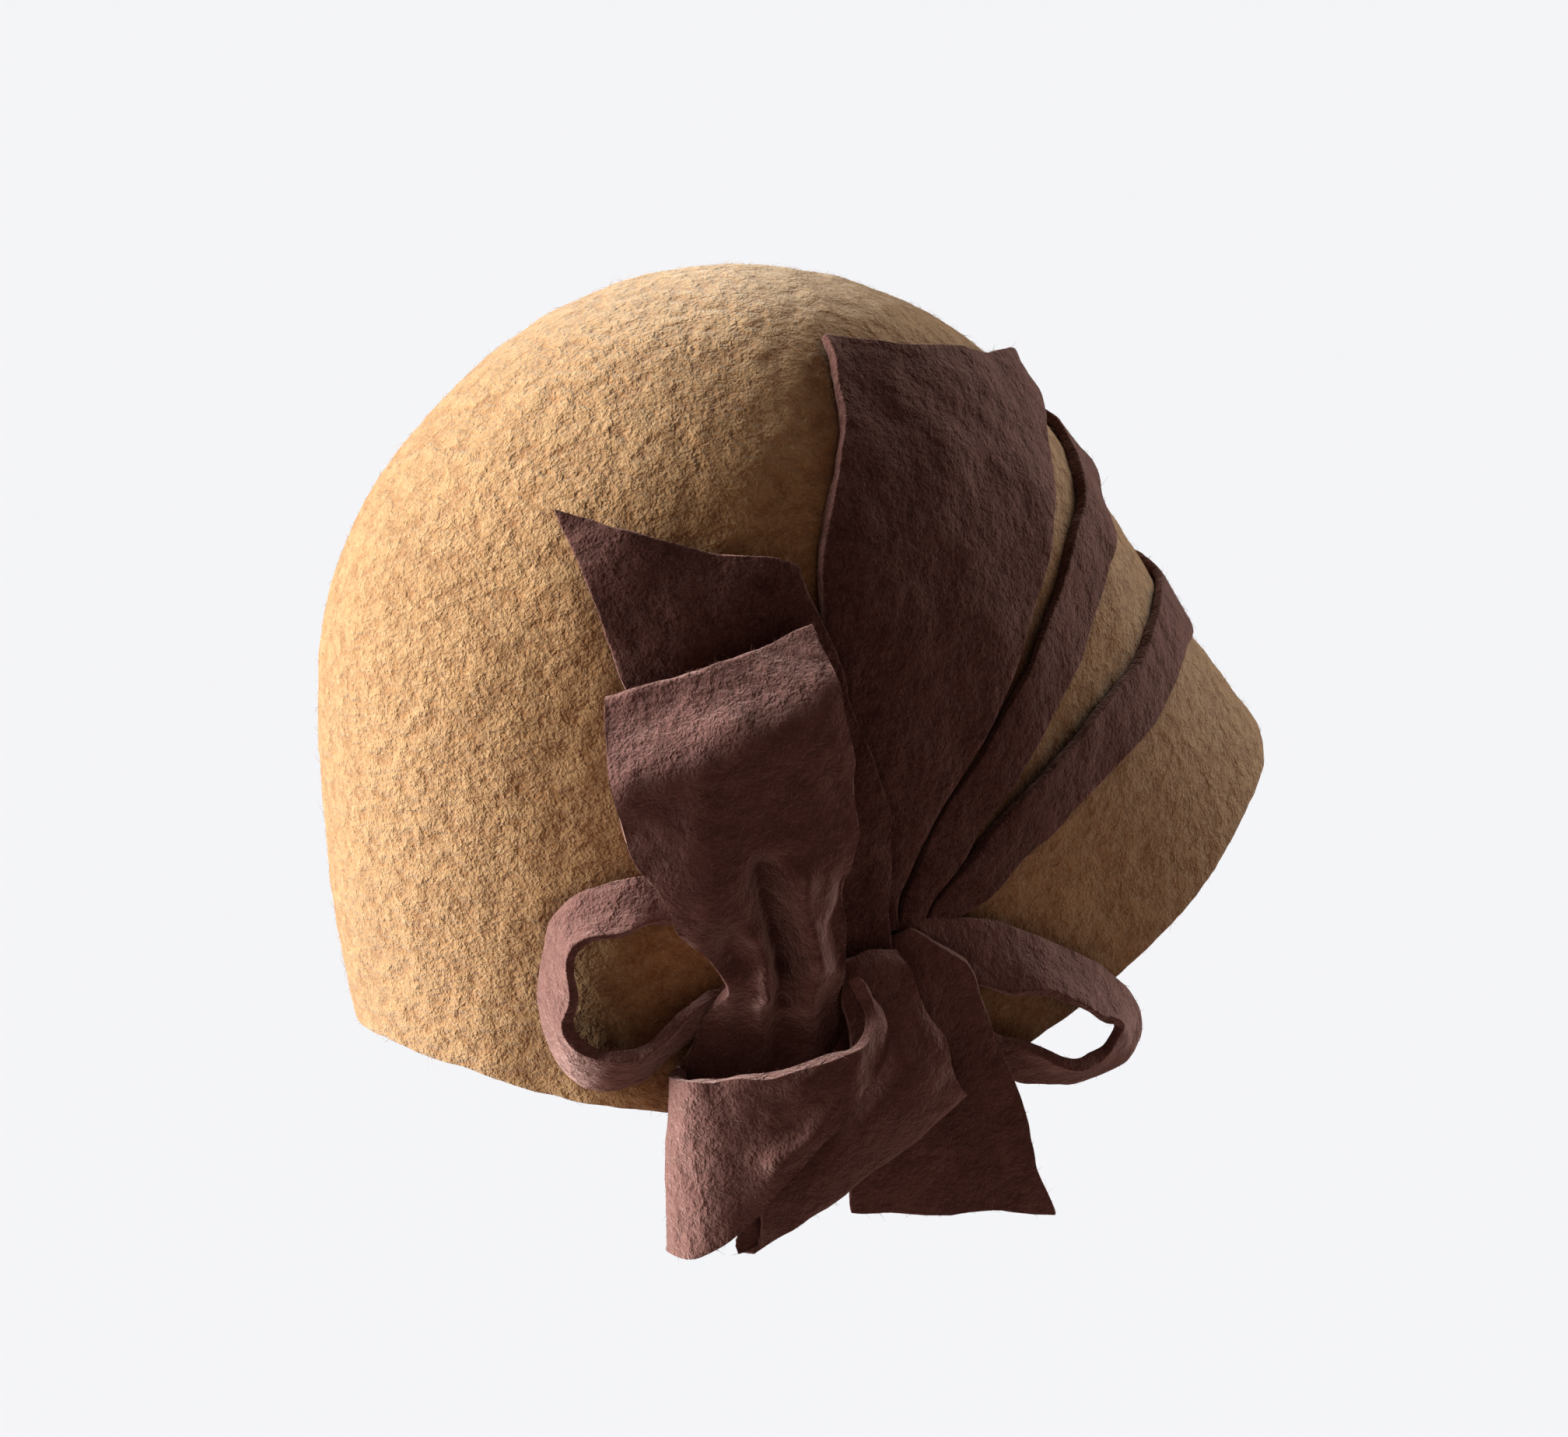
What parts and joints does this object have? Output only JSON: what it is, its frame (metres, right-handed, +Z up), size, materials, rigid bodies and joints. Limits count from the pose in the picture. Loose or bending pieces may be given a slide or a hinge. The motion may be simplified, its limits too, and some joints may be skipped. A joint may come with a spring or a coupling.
{
  "type": "cloche hat",
  "caption": "Close-fitting felt cloche hat, low over the ears and nape and raised in front, with a loose felt bow of loops, tails and bands at one ear.",
  "frame": {"origin": "middle of the head opening, level with the rim over the ears", "axes": "+Z up towards the top of the crown, -Y the way the wearer looks, -X the wearer's right, where the bow is"},
  "size_m": [0.2006, 0.2826, 0.2414],
  "materials": {
    "crown_felt": "matte camel wool felt, brushed",
    "trim_felt": "matte plum-brown wool felt, fuzzy"
  },
  "bodies": {
    "root": {"crown_body": "crown_felt", "sash": "trim_felt", "upper_band": "trim_felt", "lower_band": "trim_felt", "upper_tail": "trim_felt", "lower_tail": "trim_felt", "upper_loop": "trim_felt", "corner_loop": "trim_felt", "side_loop": "trim_felt", "front_thin_loop": "trim_felt", "back_thin_loop": "trim_felt"}
  },
  "joints": []
}
